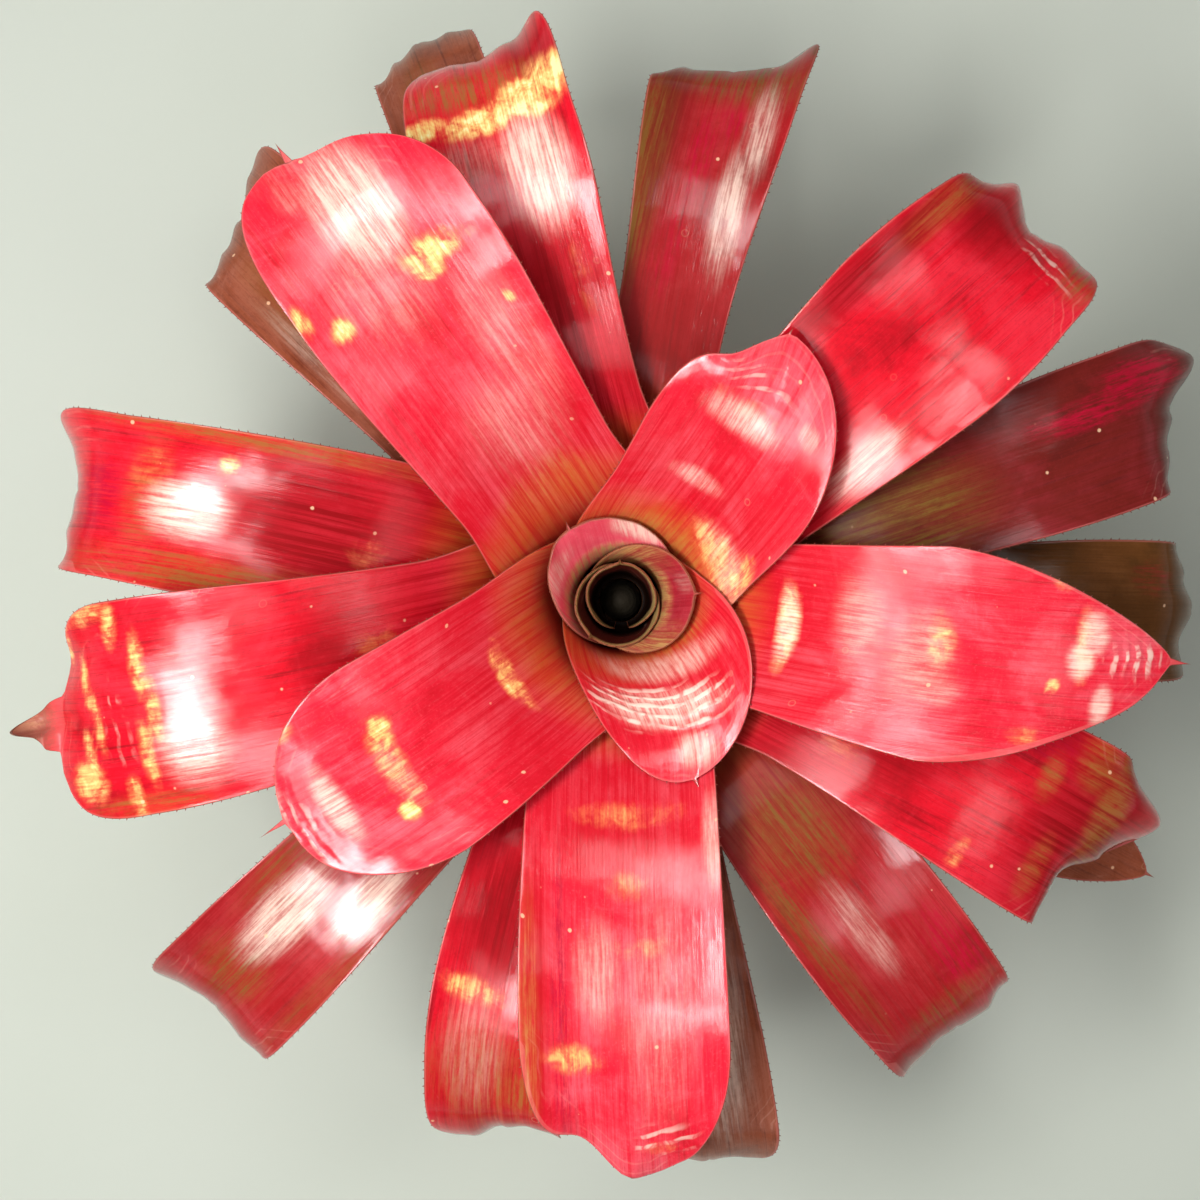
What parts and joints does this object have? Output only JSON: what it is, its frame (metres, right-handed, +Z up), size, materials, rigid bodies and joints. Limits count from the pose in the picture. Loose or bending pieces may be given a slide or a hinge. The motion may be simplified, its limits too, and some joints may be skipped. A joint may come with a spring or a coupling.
{
  "type": "potted neoregelia bromeliad",
  "caption": "Flat rosette of glossy red strap leaves whose nested sheaths form a central water cup, on a short stem in potting mix in a plain tapered clay pot.",
  "frame": {"origin": "middle of the pot's flat underside", "axes": "+Z up along the pot and stem, +X and +Y across the rosette"},
  "size_m": [0.45, 0.4616, 0.2645],
  "materials": {
    "heart_leaf": "satin",
    "upper_leaf": "gloss",
    "middle_leaf": "gloss",
    "lower_leaf": "satin",
    "stem": "matte",
    "potting_mix": "matte",
    "pot": "matte"
  },
  "bodies": {
    "root": {"pot": "pot", "potting_mix": "potting_mix", "stem": "stem", "heart_leaf_1": "heart_leaf", "heart_leaf_2": "heart_leaf", "heart_leaf_3": "heart_leaf", "heart_leaf_4": "heart_leaf", "upper_leaf_1": "upper_leaf", "upper_leaf_2": "upper_leaf", "upper_leaf_3": "upper_leaf", "upper_leaf_4": "upper_leaf", "upper_leaf_5": "upper_leaf", "upper_leaf_6": "upper_leaf", "middle_leaf_1": "middle_leaf", "middle_leaf_2": "middle_leaf", "middle_leaf_3": "middle_leaf", "middle_leaf_4": "middle_leaf", "middle_leaf_5": "middle_leaf", "middle_leaf_6": "middle_leaf", "lower_leaf_1": "lower_leaf", "lower_leaf_2": "lower_leaf", "lower_leaf_3": "lower_leaf", "lower_leaf_4": "lower_leaf", "lower_leaf_5": "lower_leaf", "lower_leaf_6": "lower_leaf", "lower_leaf_7": "lower_leaf", "lower_leaf_8": "lower_leaf", "lower_leaf_9": "lower_leaf"}
  },
  "joints": []
}
